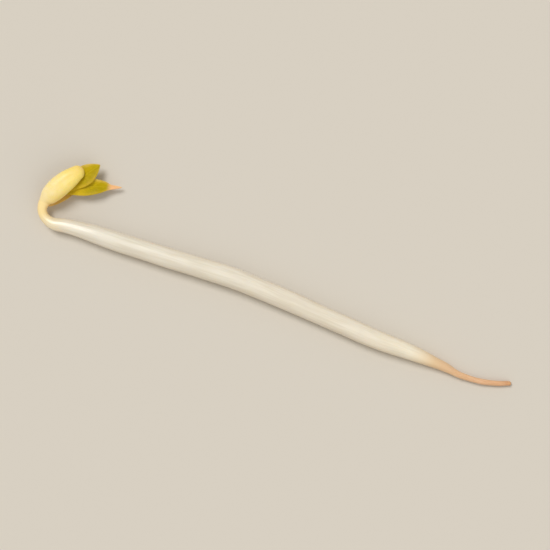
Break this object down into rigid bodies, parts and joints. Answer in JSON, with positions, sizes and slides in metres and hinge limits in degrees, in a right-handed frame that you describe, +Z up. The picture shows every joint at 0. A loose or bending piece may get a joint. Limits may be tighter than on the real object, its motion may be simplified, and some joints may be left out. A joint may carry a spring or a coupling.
{
  "type": "bean sprout",
  "caption": "Hooked mung-type bean sprout lying on its side: white stem, bent neck, pale yellow half beans, folded first leaves and a thin root.",
  "frame": {"origin": "centre of the footprint of the sprout's box, on the surface that it lies on", "axes": "+X runs along the stem from the hooked head to the root, +Y points from the stem to the side that the hook bends to, +Z is up"},
  "size_m": [0.086, 0.0146, 0.0041],
  "materials": {
    "stem_flesh": "satin",
    "root_skin": "satin",
    "cotyledon_flesh": "satin",
    "shoot_flesh": "satin",
    "leaf_blade": "satin"
  },
  "bodies": {
    "root": {"stem": "stem_flesh", "root": "root_skin", "cotyledon_outer": "cotyledon_flesh", "cotyledon_inner": "cotyledon_flesh", "shoot": "shoot_flesh", "first_leaf_side": "leaf_blade", "first_leaf_tip": "leaf_blade"}
  },
  "joints": []
}
